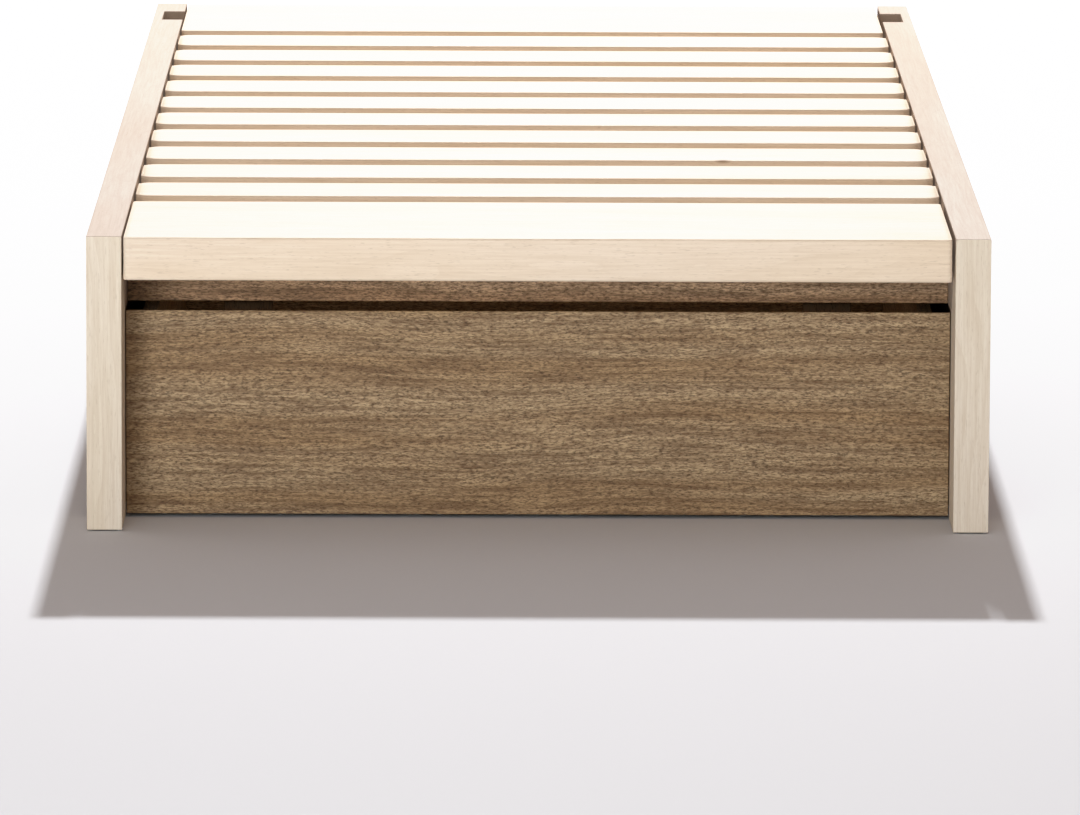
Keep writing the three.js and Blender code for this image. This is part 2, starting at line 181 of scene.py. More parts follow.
@dataclass(frozen=True)
class Wood:
    """A solid wood, cut so that its rings, fibres, pores and broad colour follow one grain axis."""

    name: str
    light: str
    dark: str
    tint: str
    pore: str
    ring_mm: float
    ring_strength: float
    fibre: Pattern
    fine: Pattern
    pores: Pattern
    roughness: float
    gloss: float
    broad: Pattern = Pattern(520.0, 75.0, detail=1.0, low=0.42, high=0.62)
    bump_mm: float = 0.05
    bump_strength: float = 0.7
    fibre_depth: float = 0.35
    roughness_spread: Pair = (-0.05, 0.08)
    sway: Pattern = Pattern(420.0, 110.0, detail=1.0)
    sway_mm: float = 6.0
    ring_sway: Pattern = Pattern(420.0, 60.0)
    ring_sway_years: float = 9.0
    late_wood_power: float = 3.0
    pith_tilt: float = 0.012
    pith_offset_mm: Pair = (35.0, -160.0)
    pore_fade: float = 0.05
    knots_mm: tuple[tuple[float, float, float, float], ...] = ()
    knot_strength: float = 0.85
    knot_taper: Triple = (1.0, 1.6, 2.5)
    knot_core: float = 0.25

    @cache
    def material(self, grain: Grain) -> Material:
        """Builds the wood, once for each axis that boards' fibres run along.

        Args:
            grain: the axis of the fibres.

        Returns:
            The material.
        """
        material, add = new_material(f"{self.name}, grain {grain.name.lower()}")
        place = add("ShaderNodeTexCoord").outputs["Object"]
        along = self._board_space(add, place, grain)
        rings = self._rings(add, along)
        fibres = self._noise(add, along, self.fibre)
        pores = self._open_pores(add, along, rings)

        colour = self._mix(add, linear(self.light), self.tint, self._noise(add, along, self.broad), self.broad)
        colour = self._mix(add, colour, self.dark, rings, Pattern.whole(self.ring_strength))
        colour = self._mix(add, colour, self.dark, fibres, self.fibre)
        colour = self._mix(add, colour, self.dark, self._noise(add, along, self.fine), self.fine)
        colour = self._mix(add, colour, self.pore, pores, Pattern.whole(self.pores.strength))
        for knot in self.knots_mm:
            dot = self._knot(add, place, knot)
            colour = self._mix(add, colour, self.pore, dot, Pattern.whole(self.knot_strength))

        depth = add("ShaderNodeMath", {0: fibres, 1: self.fibre_depth, 2: pores}, operation="MULTIPLY_ADD")
        raised = add("ShaderNodeMath", {0: 1.0, 1: depth}, operation="SUBTRACT")
        relief = {"Strength": self.bump_strength, "Distance": self.bump_mm * MM, "Height": raised}
        low, high = (self.roughness + change for change in self.roughness_spread)
        look = {
            "Base Color": colour,
            "Roughness": add("ShaderNodeMapRange", {0: fibres, 3: low, 4: high}),
            "Normal": add("ShaderNodeBump", relief),
            "Specular IOR Level": self.gloss,
        }
        add("ShaderNodeOutputMaterial", {"Surface": add("ShaderNodeBsdfPrincipled", look)})
        return material

    def _board_space(self, add: Adder, place: Socket, grain: Grain) -> Socket:
        """Turns object coordinates so that swaying fibres lie along X, in each board's own piece of trunk.

        Args:
            add: adds a node.
            place: object coordinates.
            grain: the axis of the fibres.

        Returns:
            Coordinates in metres with the fibres along X.
        """
        laid = add("ShaderNodeMapping", {0: place, "Rotation": grain.value}, vector_type="POINT")
        shift = add("ShaderNodeAttribute", attribute_name=BOARD_SHIFT).outputs["Vector"]
        board = add("ShaderNodeVectorMath", {0: laid, 1: shift}, operation="ADD")
        sway = self._noise(add, board, self.sway, "Color")
        centred = add("ShaderNodeVectorMath", {0: sway, 1: (0.5, 0.5, 0.5)}, operation="SUBTRACT")
        reach = 2.0 * self.sway_mm * MM
        bend = {0: centred, 1: (0.0, reach, reach), 2: board}
        return add("ShaderNodeVectorMath", bend, operation="MULTIPLY_ADD").outputs[0]

    def _rings(self, add: Adder, along: Socket) -> Socket:
        """Draws growth rings about a pith that runs almost along the board, dark at the end of each year.

        Args:
            add: adds a node.
            along: coordinates with the fibres along X.

        Returns:
            Zero where a year's growth begins, rising to one where it ends.
        """
        pith_y, pith_z = (offset * MM for offset in self.pith_offset_mm)
        pith = {0: along, "Location": (0.0, pith_y, pith_z), "Rotation": (0.0, self.pith_tilt, self.pith_tilt)}
        about = add("ShaderNodeMapping", pith)
        flat = add("ShaderNodeVectorMath", {0: about, 1: (0.0, 1.0, 1.0)}, operation="MULTIPLY")
        radius = add("ShaderNodeVectorMath", {0: flat}, operation="LENGTH").outputs["Value"]
        years = add("ShaderNodeMath", {0: radius, 1: 1000.0 / self.ring_mm}, operation="MULTIPLY")
        sway = {0: self._noise(add, along, self.ring_sway), 1: self.ring_sway_years, 2: years}
        bent = add("ShaderNodeMath", sway, operation="MULTIPLY_ADD")
        season = add("ShaderNodeMath", {0: bent}, operation="FRACT")
        late = {0: season, 1: self.late_wood_power}
        return add("ShaderNodeMath", late, operation="POWER").outputs[0]

    def _open_pores(self, add: Adder, along: Socket, rings: Socket) -> Socket:
        """Draws open pores as short dashes along the fibres, most where a year's growth begins.

        Args:
            add: adds a node.
            along: coordinates with the fibres along X.
            rings: the growth rings.

        Returns:
            One in the middle of a pore, zero between pores.
        """
        dashes = self._noise(add, along, self.pores)
        edge = self.pores.low
        sparse = add("ShaderNodeMapRange", {0: rings, 3: edge, 4: edge + self.pore_fade})
        over = add("ShaderNodeMath", {0: dashes, 1: sparse}, operation="SUBTRACT")
        return add("ShaderNodeMapRange", {0: over, 1: 0.0, 2: self.pores.high - edge}).outputs[0]

    def _knot(self, add: Adder, place: Socket, knot: tuple[float, float, float, float]) -> Socket:
        """Draws one pin knot.

        Args:
            add: adds a node.
            place: object coordinates.
            knot: its middle and its half length in millimetres.

        Returns:
            One in the knot's core, fading to zero at its edge.
        """
        *middle, half_length = knot
        centre = tuple(-value * MM for value in middle)
        about = add("ShaderNodeVectorMath", {0: place, 1: centre}, operation="ADD")
        stretch = tuple(value / (half_length * MM) for value in self.knot_taper)
        ball = add("ShaderNodeVectorMath", {0: about, 1: stretch}, operation="MULTIPLY")
        far = add("ShaderNodeVectorMath", {0: ball}, operation="LENGTH").outputs["Value"]
        return add("ShaderNodeMapRange", {0: far, 1: 1.0, 2: self.knot_core}).outputs[0]

    def _noise(self, add: Adder, along: Socket | Node, pattern: Pattern, output: str = "Fac") -> Socket:
        """Draws noise of a pattern's real length along the fibres and real width across them.

        Args:
            add: adds a node.
            along: coordinates with the fibres along X.
            pattern: its sizes and its detail.
            output: the noise node's output that is wanted.

        Returns:
            The noise.
        """
        wide = 1000.0 / pattern.width_mm
        per_metre = (1000.0 / pattern.length_mm, wide, wide)
        space = add("ShaderNodeVectorMath", {0: along, 1: per_metre}, operation="MULTIPLY")
        grain = {"Vector": space, "Scale": 1.0, "Detail": pattern.detail, "Roughness": 0.6}
        return add("ShaderNodeTexNoise", grain).outputs[output]

    def _mix(self, add: Adder, under: Any, over: str, value: Socket, pattern: Pattern) -> Socket:
        """Lays a colour over another where a value is high, up to a pattern's strength.

        Args:
            add: adds a node.
            under: the colour so far.
            over: the hex colour laid over it.
            value: where it is laid.
            pattern: its strength, and the values between which it comes up.

        Returns:
            The mixed colour.
        """
        window = {0: value, 1: pattern.low, 2: pattern.high, 3: 0.0, 4: pattern.strength}
        amount = add("ShaderNodeMapRange", window)
        return add("ShaderNodeMix", {0: amount, 6: under, 7: linear(over)}, data_type="RGBA").outputs[2]


@dataclass(frozen=True)
class Plywood:
    """Birch plywood: rotary-cut face veneer, and edges that show the plies."""

    name: str
    face: str
    streak: str
    ply: str
    glue: str
    ply_mm: float = 1.5
    streaks_per_metre: Pair = (6.0, 90.0)
    streak_waver: float = 0.6
    streak_window: Pair = (0.35, 0.7)
    glue_window: Pair = (0.48, 0.56)
    face_window: Pair = (0.6, 0.8)
    roughness: float = 0.45
    lacquer: float = 0.15
    bump_mm: float = 0.08
    bump_strength: float = 0.4

    @cache
    def material(self, thickness_axis: int) -> Material:
        """Builds the plywood, once for each axis that panels are thin along.

        Args:
            thickness_axis: 0, 1 or 2 for X, Y or Z.

        Returns:
            The material.
        """
        material, add = new_material(f"{self.name}, thin along {'XYZ'[thickness_axis]}")
        place = add("ShaderNodeTexCoord").outputs["Object"]
        along, across = self.streaks_per_metre
        stretch = [across] * 3
        stretch[0 if thickness_axis == 1 else 1] = along
        veneer = add("ShaderNodeVectorMath", {0: place, 1: stretch}, operation="MULTIPLY")
        waves = {"Vector": veneer, "Scale": 1.0, "Detail": 5.0, "Distortion": self.streak_waver}
        figure = add("ShaderNodeTexNoise", waves)
        face = self._blend(add, figure, self.streak_window, linear(self.face), linear(self.streak))

        split = add("ShaderNodeSeparateXYZ", {0: place}).outputs[thickness_axis]
        pairs = add("ShaderNodeMath", {0: split, 1: 500.0 / self.ply_mm}, operation="MULTIPLY")
        step = add("ShaderNodeMath", {0: pairs}, operation="FRACT")
        edge = self._blend(add, step, self.glue_window, linear(self.ply), linear(self.glue))

        normal = add("ShaderNodeNewGeometry").outputs["True Normal"]
        facing = add("ShaderNodeSeparateXYZ", {0: normal}).outputs[thickness_axis]
        flat_on = add("ShaderNodeMath", {0: facing}, operation="ABSOLUTE")
        relief = {"Strength": self.bump_strength, "Distance": self.bump_mm * MM, "Height": figure}
        look = {
            "Base Color": self._blend(add, flat_on, self.face_window, edge, face),
            "Roughness": self.roughness,
            "Normal": add("ShaderNodeBump", relief),
            "Coat Weight": self.lacquer,
        }
        add("ShaderNodeOutputMaterial", {"Surface": add("ShaderNodeBsdfPrincipled", look)})
        return material

    def _blend(self, add: Adder, value: Node, window: Pair, first: Any, second: Any) -> Socket:
        """Goes from one colour to another as a value crosses a window.

        Args:
            add: adds a node.
            value: the node whose first output is the value.
            window: where the change begins and ends.
            first: the colour below the window.
            second: the colour above it.

        Returns:
            The colour.
        """
        amount = add("ShaderNodeMapRange", {0: value, 1: window[0], 2: window[1]})
        return add("ShaderNodeMix", {0: amount, 6: first, 7: second}, data_type="RGBA").outputs[2]


@dataclass(frozen=True)
class Hardware:
    """A metal, plastic, rubber or felt whose colour, gloss and texture vary over a fine grit."""

    name: str
    base: str
    worn: str
    metallic: float
    roughness: float
    grit_mm: float
    bump_mm: float
    bump_strength: float = 0.5
    sheen: float = 0.0
    roughness_spread: Pair = (-0.06, 0.08)
    patches_per_metre: float = 120.0
    worn_window: Pair = (0.45, 0.75)

    @cache
    def material(self) -> Material:
        """Builds the material, once.

        Returns:
            The material.
        """
        material, add = new_material(self.name)
        place = add("ShaderNodeTexCoord").outputs["Object"]
        grit = add("ShaderNodeTexNoise", {"Vector": place, "Scale": 1000.0 / self.grit_mm, "Detail": 3.0})
        patches = {"Vector": place, "Scale": self.patches_per_metre, "Detail": 2.0}
        patch = add("ShaderNodeTexNoise", patches)
        worn = add("ShaderNodeMapRange", {0: patch, 1: self.worn_window[0], 2: self.worn_window[1]})
        colours = {0: worn, 6: linear(self.base), 7: linear(self.worn)}
        low, high = (self.roughness + change for change in self.roughness_spread)
        relief = {"Strength": self.bump_strength, "Distance": self.bump_mm * MM, "Height": grit}
        look = {
            "Base Color": add("ShaderNodeMix", colours, data_type="RGBA").outputs[2],
            "Metallic": self.metallic,
            "Roughness": add("ShaderNodeMapRange", {0: grit, 3: low, 4: high}),
            "Normal": add("ShaderNodeBump", relief),
            "Sheen Weight": self.sheen,
        }
        add("ShaderNodeOutputMaterial", {"Surface": add("ShaderNodeBsdfPrincipled", look)})
        return material


# White maple sapwood, planed and soaped: almost no figure, a silky matt face, fine grey fibres, two pin knots.
# Its colour is partly painted sheen: it is paler than the rail maple to stand in for the bright sheen
# that light from behind raises across the slats' fibres.
SLAT_MAPLE = Wood(
    name="maple sapwood, planed and soaped",
    light="#EADAC7", dark="#CCB498", tint="#E8D6BF", pore="#8C6E50",
    ring_mm=9.0, ring_strength=0.16,
    fibre=Pattern(90.0, 2.2, 0.4, detail=4.0, low=0.38, high=0.72),
    fine=Pattern(18.0, 1.6, 0.12),
    pores=Pattern(9.0, 0.9, 0.2, detail=1.0, low=0.62, high=0.7),
    roughness=0.58, gloss=0.06,
    knots_mm=((201.0, -408.0, 303.0, 11.0), (-224.0, -729.0, 303.0, 5.0)),
)

# Hard maple for the upright posts: pale, with fine upright fibres.
POST_MAPLE = Wood(
    name="hard maple, planed and soaped",
    light="#E4D9C9", dark="#C6B299", tint="#E2D6C3", pore="#A48B6F",
    ring_mm=6.0, ring_strength=0.3,
    fibre=Pattern(70.0, 2.0, 0.45, detail=4.0, low=0.38, high=0.72),
    fine=Pattern(16.0, 1.5, 0.15),
    pores=Pattern(10.0, 0.9, 0.25, detail=1.0, low=0.62, high=0.7),
    roughness=0.55, gloss=0.1,
)

# Pinkish heart maple for the long rails, with a faint cathedral figure. Its darker colour is partly painted
# shade:
# it stands for the sheen that the rails' lengthwise fibres do not catch, next to the paler slats.
RAIL_MAPLE = Wood(
    name="heart maple, planed and soaped",
    light="#C0B2A4", dark="#A79686", tint="#BCA998", pore="#8C7A68",
    ring_mm=11.0, ring_strength=0.18,
    fibre=Pattern(90.0, 2.0, 0.35, detail=4.0, low=0.38, high=0.72),
    fine=Pattern(16.0, 1.5, 0.12),
    pores=Pattern(10.0, 0.9, 0.25, detail=1.0, low=0.62, high=0.7),
    roughness=0.6, gloss=0.06,
)

# Smoked oak, brushed and oiled: open pores show as short dark ticks between paler fibres, over soft bands.
# Real pores are about 0.3 mm wide; they are drawn near 1 mm so that they show at this distance.
SMOKED_OAK = Wood(
    name="smoked oak, brushed and oiled",
    light="#C2A781", dark="#5F4329", tint="#AF9068", pore="#2E1C0B",
    ring_mm=26.0, ring_strength=0.2,
    broad=Pattern(900.0, 34.0, detail=1.0, low=0.4, high=0.6),
    fibre=Pattern(110.0, 4.0, 0.66, detail=3.0, low=0.4, high=0.66),
    fine=Pattern(6.5, 1.5, 0.9, low=0.38),
    pores=Pattern(3.6, 1.2, 0.6, detail=1.0, low=0.5, high=0.66),
    roughness=0.55, gloss=0.25, bump_mm=0.12,
    sway_mm=16.0, pith_offset_mm=(60.0, -260.0),
)

# The strip above the drawer is cut from redder heartwood of the same oak; its lighter tone is partly painted
# light, standing in for the light from the floor that reaches the strip under the overhanging foot board.
HEART_OAK_PAINTED_LIGHT = replace(SMOKED_OAK, name="smoked oak heartwood, brushed and oiled", light="#D4AE86", tint="#C0946A")

# The stop blocks are darkened far past the smoked oak as painted shade, so that the finger gap behind the drawer
# front reads as a dark shaded cavity.
PAINTED_SHADE_OAK = replace(
    SMOKED_OAK, name="smoked oak, smoked twice and oiled", light="#5C4630", tint="#4E3A27", gloss=0.1
)

# Birch plywood, sanded and lacquered: a warm even face, striped edges.
BIRCH_PLY = Plywood(
    name="birch plywood, sanded and lacquered",
    face="#DCC8A4", streak="#CBB188", ply="#D8C29A", glue="#8E6F49",
)

# Zinc-plated sheet steel, pressed: cool grey, slightly cloudy, with soft reflections.
ZINC_STEEL = Hardware(
    name="zinc-plated steel, pressed",
    base="#B4B7B8", worn="#9A9C9B", metallic=1.0, roughness=0.34, grit_mm=1.2, bump_mm=0.02,
)

# Black nylon, injection moulded: matt with a faint spark-eroded grain.
NYLON = Hardware(
    name="nylon, moulded",
    base="#2B2C2E", worn="#3A3A3B", metallic=0.0, roughness=0.5, grit_mm=0.8, bump_mm=0.03,
)

# Natural rubber, moulded: dull black with a dusty bloom.
RUBBER = Hardware(
    name="rubber, moulded",
    base="#1C1B1A", worn="#2E2B28", metallic=0.0, roughness=0.8, grit_mm=0.9, bump_mm=0.03,
)

# Wool felt, pressed: grey-brown, fuzzy at its edges.
FELT = Hardware(
    name="wool felt, pressed",
    base="#4A443D", worn="#5C554C", metallic=0.0, roughness=0.95, grit_mm=1.0, bump_mm=0.3, sheen=0.4,
)


# ---- Making and placing pieces ----


def new_object(name: str, mesh: Mesh) -> Piece:
    """Links a new object at the origin to the scene.

    Args:
        name: the piece's name.
        mesh: its shape, in place.

    Returns:
        The piece.
    """
    piece = bpy.data.objects.new(name, mesh)
    bpy.context.scene.collection.objects.link(piece)
    return piece


def install(piece: Piece, material: Material, nodes: list[str]) -> None:
    """Gives a piece its material and puts it in the place of CAD nodes on their body.

    Args:
        piece: the finished piece, in place.
        material: what it is made of.
        nodes: the CAD nodes that it stands for, all on one body.
    """
    piece.data.materials.clear()
    piece.data.materials.append(material)
    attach(piece, BODY_OF[nodes[0]])
    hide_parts(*nodes)
    LOG.info("%s: %s, %d faces", piece.name, material.name, len(piece.data.polygons))


def dress(node: str, material: Material) -> None:
    """Gives a CAD node that stays in view its material.

    Args:
        node: the CAD node.
        material: what it is made of.
    """
    mesh = frame["nodes"][node].data
    mesh.materials.clear()
    mesh.materials.append(material)
    LOG.info("%s: %s, as modelled", node, material.name)


def board_shift(name: str) -> Triple:
    """Picks the part of the trunk that a named board was cut from, the same on every run."""
    draw = random.Random(name)
    return tuple(draw.uniform(-reach, reach) for reach in TRUNK_REACH)


def finish(node: str, ease_mm: float, material: Material, segments: int = 2) -> None:
    """Puts an eased copy of a CAD node in its place, in its material.

    Args:
        node: the CAD node.
        ease_mm: the radius that its edges are eased to.
        material: what it is made of.
        segments: the steps across each eased edge.
    """
    install(eased(node, ease_mm, segments), material, [node])


def eased(node: str, ease_mm: float, segments: int) -> Piece:
    """Copies a CAD node's shape as one clean mesh and rounds its sharp edges.

    Args:
        node: the CAD node.
        ease_mm: the radius that its edges are eased to.
        segments: the steps across each eased edge.

    Returns:
        The new piece, with no material yet.
    """
    merge, flat, corner = 0.02 * MM, math.radians(0.5), math.radians(25)
    shape = bmesh.new()
    shape.from_mesh(frame["nodes"][node].data)
    bmesh.ops.remove_doubles(shape, verts=shape.verts, dist=merge)
    verts, edges = shape.verts[:], shape.edges[:]
    bmesh.ops.dissolve_limit(shape, angle_limit=flat, verts=verts, edges=edges, use_dissolve_boundaries=False)
    sharp = [e for e in shape.edges if len(e.link_faces) == 2 and e.calc_face_angle(0.0) > corner]
    curve = {"segments": segments, "profile": 0.5, "affect": "EDGES", "clamp_overlap": True}
    bmesh.ops.bevel(shape, geom=sharp, offset=ease_mm * MM, **curve)
    mesh = bpy.data.meshes.new(f"{node}_eased")
    shape.to_mesh(mesh)
    shape.free()
    shift = mesh.attributes.new(BOARD_SHIFT, "FLOAT_VECTOR", "POINT")
    shift.data.foreach_set("vector", list(board_shift(node)) * len(mesh.vertices))
    return new_object(f"{node}_eased", mesh)


def turned(name: str, profile: list[Pair], centre: Vector, steps: int) -> Piece:
    """Spins a closed profile about a line through a point, parallel to X.

    Args:
        name: the piece's name.
        profile: radius and distance along the line of each corner, in metres.
        centre: the point on the line that distances are counted from.
        steps: the number of steps round.

    Returns:
        The new piece, smooth between its steps.
    """
    shape = bmesh.new()
    rings = []
    for i in range(steps):
        angle = 2 * math.pi * i / steps
        across, up = math.cos(angle), math.sin(angle)
        rings.append([shape.verts.new(centre + Vector((x, r * across, r * up))) for r, x in profile])
    count = len(profile)
    for i, ring in enumerate(rings):
        after = rings[(i + 1) % steps]
        for j in range(count):
            k = (j + 1) % count
            shape.faces.new((ring[j], ring[k], after[k], after[j]))
    bmesh.ops.recalc_face_normals(shape, faces=shape.faces)
    mesh = bpy.data.meshes.new(name)
    shape.to_mesh(mesh)
    shape.free()
    mesh.polygons.foreach_set("use_smooth", [True] * len(mesh.polygons))
    mesh.set_sharp_from_angle(angle=SMOOTH_UNDER)
    return new_object(name, mesh)


# ---- Geometry Nodes: rows of boards and rows of screws ----


class NodeRow:
    """A Geometry Nodes tree with named inputs, run once for each row of like things."""

    def __init__(self, name: str, sockets: dict[str, tuple[str, ...]]) -> None:
        """Starts a tree with the inputs of every row: how many, where, and of what material.

        Args:
            name: the tree's name.
            sockets: the names of its further inputs, by the type of their sockets.
        """
        self.tree = bpy.data.node_groups.new(name, "GeometryNodeTree")
        self.identifiers: dict[str, str] = {}
        common = {"Int": ("Count",), "Vector": ("First", "Step"), "Material": ("Material",)}
        for kind, labels in (*common.items(), *sockets.items()):
            for label in labels:
                socket = self.tree.interface.new_socket(label, in_out="INPUT", socket_type=f"NodeSocket{kind}")
                self.identifiers[label] = socket.identifier
        self.tree.interface.new_socket("Geometry", in_out="OUTPUT", socket_type="NodeSocketGeometry")
        self.add = partial(add_node, self.tree)
        self.given = self.add("NodeGroupInput").outputs

    def end(self, shape: Node, turn: Any = (0.0, 0.0, 0.0), trunk: Node | None = None) -> None:
        """Puts a shape at each place of the row, and ends the tree with real geometry that has its material.

        Args:
            shape: the node that makes the shape.
            turn: how each copy is turned.
            trunk: the node that says which part of the trunk each copy is cut from, if they are boards.
        """
        add, given = self.add, self.given
        line = {"Count": given["Count"], "Start Location": given["First"], "Offset": given["Step"]}
        places = add("GeometryNodeMeshLine", line, mode="OFFSET")
        copies = {"Points": places, "Instance": shape, "Rotation": turn}
        row = add("GeometryNodeInstanceOnPoints", copies)
        if trunk:
            note = {"Geometry": row, "Name": BOARD_SHIFT, "Value": trunk}
            kind = {"data_type": "FLOAT_VECTOR", "domain": "INSTANCE"}
            row = add("GeometryNodeStoreNamedAttribute", note, **kind)
        real = add("GeometryNodeRealizeInstances", {0: row})
        dressed = add("GeometryNodeSetMaterial", {"Geometry": real, "Material": given["Material"]})
        add("NodeGroupOutput", {0: dressed})

    def run(self, values: dict[str, Any]) -> Mesh:
        """Runs the tree with its inputs filled in.

        Args:
            values: a value for each named input.

        Returns:
            The plain mesh that it makes.
        """
        host = new_object(self.tree.name, bpy.data.meshes.new(self.tree.name))
        modifier = host.modifiers.new(self.tree.name, "NODES")
        modifier.node_group = self.tree
        for label, value in values.items():
            modifier[self.identifiers[label]] = value
        graph = bpy.context.evaluated_depsgraph_get()
        mesh = bpy.data.meshes.new_from_object(host.evaluated_get(graph))
        host.modifiers.remove(modifier)
        bpy.data.objects.remove(host)
        return mesh


class BoardRow(NodeRow):
    """Boards that lie across the bed, evenly spaced, with rounded edges and corners and eased ends."""

    path_points = 49
    edge_steps = 4
    end_facing = 0.9

    def __init__(self) -> None:
        """Builds the tree."""
        sizes = ("Length", "Width", "Thickness", "Edge Radius", "End Ease", "Corner Radius")
        super().__init__("board row", {"Float": sizes, "Int": ("Seed",)})
        add, given = self.add, self.given
        section = {"Width": given["Width"], "Height": given["Thickness"]}
        outline = add("GeometryNodeCurvePrimitiveQuadrilateral", section)
        fillet = {"Curve": outline, "Count": self.edge_steps, "Radius": given["Edge Radius"]}
        rounded = add("GeometryNodeFilletCurve", fillet, mode="POLY")
        half = add("ShaderNodeMath", {0: given["Length"], 1: 0.5}, operation="MULTIPLY")
        reach = add("ShaderNodeMath", {0: half, 1: given["End Ease"]}, operation="SUBTRACT")
        swept = {"Curve": self._path(reach), "Profile Curve": rounded, "Fill Caps": True}
        cornered = self._round_corners(add("GeometryNodeCurveToMesh", swept), reach)
        facing = add("ShaderNodeSeparateXYZ", {0: add("GeometryNodeInputNormal")})
        square_on = add("ShaderNodeMath", {0: facing}, operation="ABSOLUTE")
        is_end = add("ShaderNodeMath", {0: square_on, 1: self.end_facing}, operation="GREATER_THAN")
        push = {"Mesh": cornered, "Selection": is_end, "Offset Scale": given["End Ease"], "Individual": True}
        pushed = add("GeometryNodeExtrudeMesh", push, mode="FACES").outputs
        shrink = add("ShaderNodeMath", {0: given["End Ease"], 1: given["Width"]}, operation="DIVIDE")
        narrowed = add("ShaderNodeMath", {0: shrink, 1: -2.0, 2: 1.0}, operation="MULTIPLY_ADD")
        ease = {"Geometry": pushed["Mesh"], "Selection": pushed["Top"], "Scale": narrowed}
        ended = add("GeometryNodeScaleElements", ease)
        reaches = {0: tuple(-reach for reach in TRUNK_REACH), 1: TRUNK_REACH, "Seed": given["Seed"]}
        trunk = add("FunctionNodeRandomValue", reaches, data_type="FLOAT_VECTOR")
        self.end(ended, trunk=trunk)

    def _path(self, reach: Node) -> Node:
        """Lays a line along X, with its points crowded towards both ends.

        Args:
            reach: how far it runs each way from the middle.

        Returns:
            The node that makes the line.
        """
        add = self.add
        line = add("GeometryNodeCurvePrimitiveLine", {"Start": (-1.0, 0.0, 0.0), "End": (1.0, 0.0, 0.0)})
        even = add("GeometryNodeResampleCurve", {"Curve": line, "Count": self.path_points})
        place = add("ShaderNodeSeparateXYZ", {0: add("GeometryNodeInputPosition")})
        angle = add("ShaderNodeMath", {0: place, 1: math.pi / 2}, operation="MULTIPLY")
        crowded = add("ShaderNodeMath", {0: angle}, operation="SINE")
        scaled = add("ShaderNodeMath", {0: crowded, 1: reach}, operation="MULTIPLY")
        target = add("ShaderNodeCombineXYZ", {"X": scaled})
        return add("GeometryNodeSetPosition", {"Geometry": even, "Position": target})

    def _round_corners(self, board: Node, reach: Node) -> Node:
        """Narrows a board towards its ends so that its four corners are round as seen from above.

        Args:
            board: the node that makes the square-cornered board.
            reach: half the board's length.

        Returns:
            The node that makes the board with round corners.
        """
        add, radius = self.add, self.given["Corner Radius"]
        place = add("ShaderNodeSeparateXYZ", {0: add("GeometryNodeInputPosition")})
        start = add("ShaderNodeMath", {0: reach, 1: radius}, operation="SUBTRACT")
        share = add("ShaderNodeMath", {0: place}, operation="ABSOLUTE")
        for operation, amount in (("SUBTRACT", start), ("MAXIMUM", 0.0), ("DIVIDE", radius)):
            share = add("ShaderNodeMath", {0: share, 1: amount}, operation=operation)
        square = add("ShaderNodeMath", {0: share, 1: share}, operation="MULTIPLY")
        left = add("ShaderNodeMath", {0: 1.0, 1: square}, operation="SUBTRACT", use_clamp=True)
        root = add("ShaderNodeMath", {0: left}, operation="SQRT")
        lost = add("ShaderNodeMath", {0: 1.0, 1: root}, operation="SUBTRACT")
        inset = add("ShaderNodeMath", {0: lost, 1: radius}, operation="MULTIPLY")
        share_out = add("ShaderNodeMath", {0: inset, 1: self.given["Width"]}, operation="DIVIDE")
        keep = add("ShaderNodeMath", {0: share_out, 1: -2.0, 2: 1.0}, operation="MULTIPLY_ADD")
        narrow = add("ShaderNodeMath", {0: place.outputs[1], 1: keep}, operation="MULTIPLY")
        target = add("ShaderNodeCombineXYZ", {"X": place, "Y": narrow, "Z": place.outputs[2]})
        return add("GeometryNodeSetPosition", {"Geometry": board, "Position": target})


class ScrewRow(NodeRow):
    """The heads of cross-recessed screws in a row; crown and recess are shares of the head's radius."""

    head_sides = 20
    crown = 0.72
    recess_length = 1.1
    recess_width = 0.26

    def __init__(self) -> None:
        """Builds the tree."""
        super().__init__("screw row", {"Rotation": ("Turn",), "Float": ("Head Radius", "Head Height")})
        add, radius, height = self.add, self.given["Head Radius"], self.given["Head Height"]
        crown, long, wide = (
            add("ShaderNodeMath", {0: radius, 1: share}, operation="MULTIPLY")
            for share in (self.crown, self.recess_length, self.recess_width)
        )
        cone = {"Vertices": self.head_sides, "Radius Top": crown, "Radius Bottom": radius, "Depth": height}
        head = add("GeometryNodeMeshCone", cone)
        recessed = add("GeometryNodeMeshBoolean", {0: head}, operation="DIFFERENCE")
        for first, second in ((long, wide), (wide, long)):
            size = add("ShaderNodeCombineXYZ", {"X": first, "Y": second, "Z": height})
            lift = add("ShaderNodeCombineXYZ", {"Z": height})
            raised = {"Geometry": add("GeometryNodeMeshCube", {"Size": size}), "Translation": lift}
            bar = add("GeometryNodeTransform", raised)
            self.tree.links.new(bar.outputs[0], recessed.inputs[1])
        self.end(recessed, turn=self.given["Turn"])


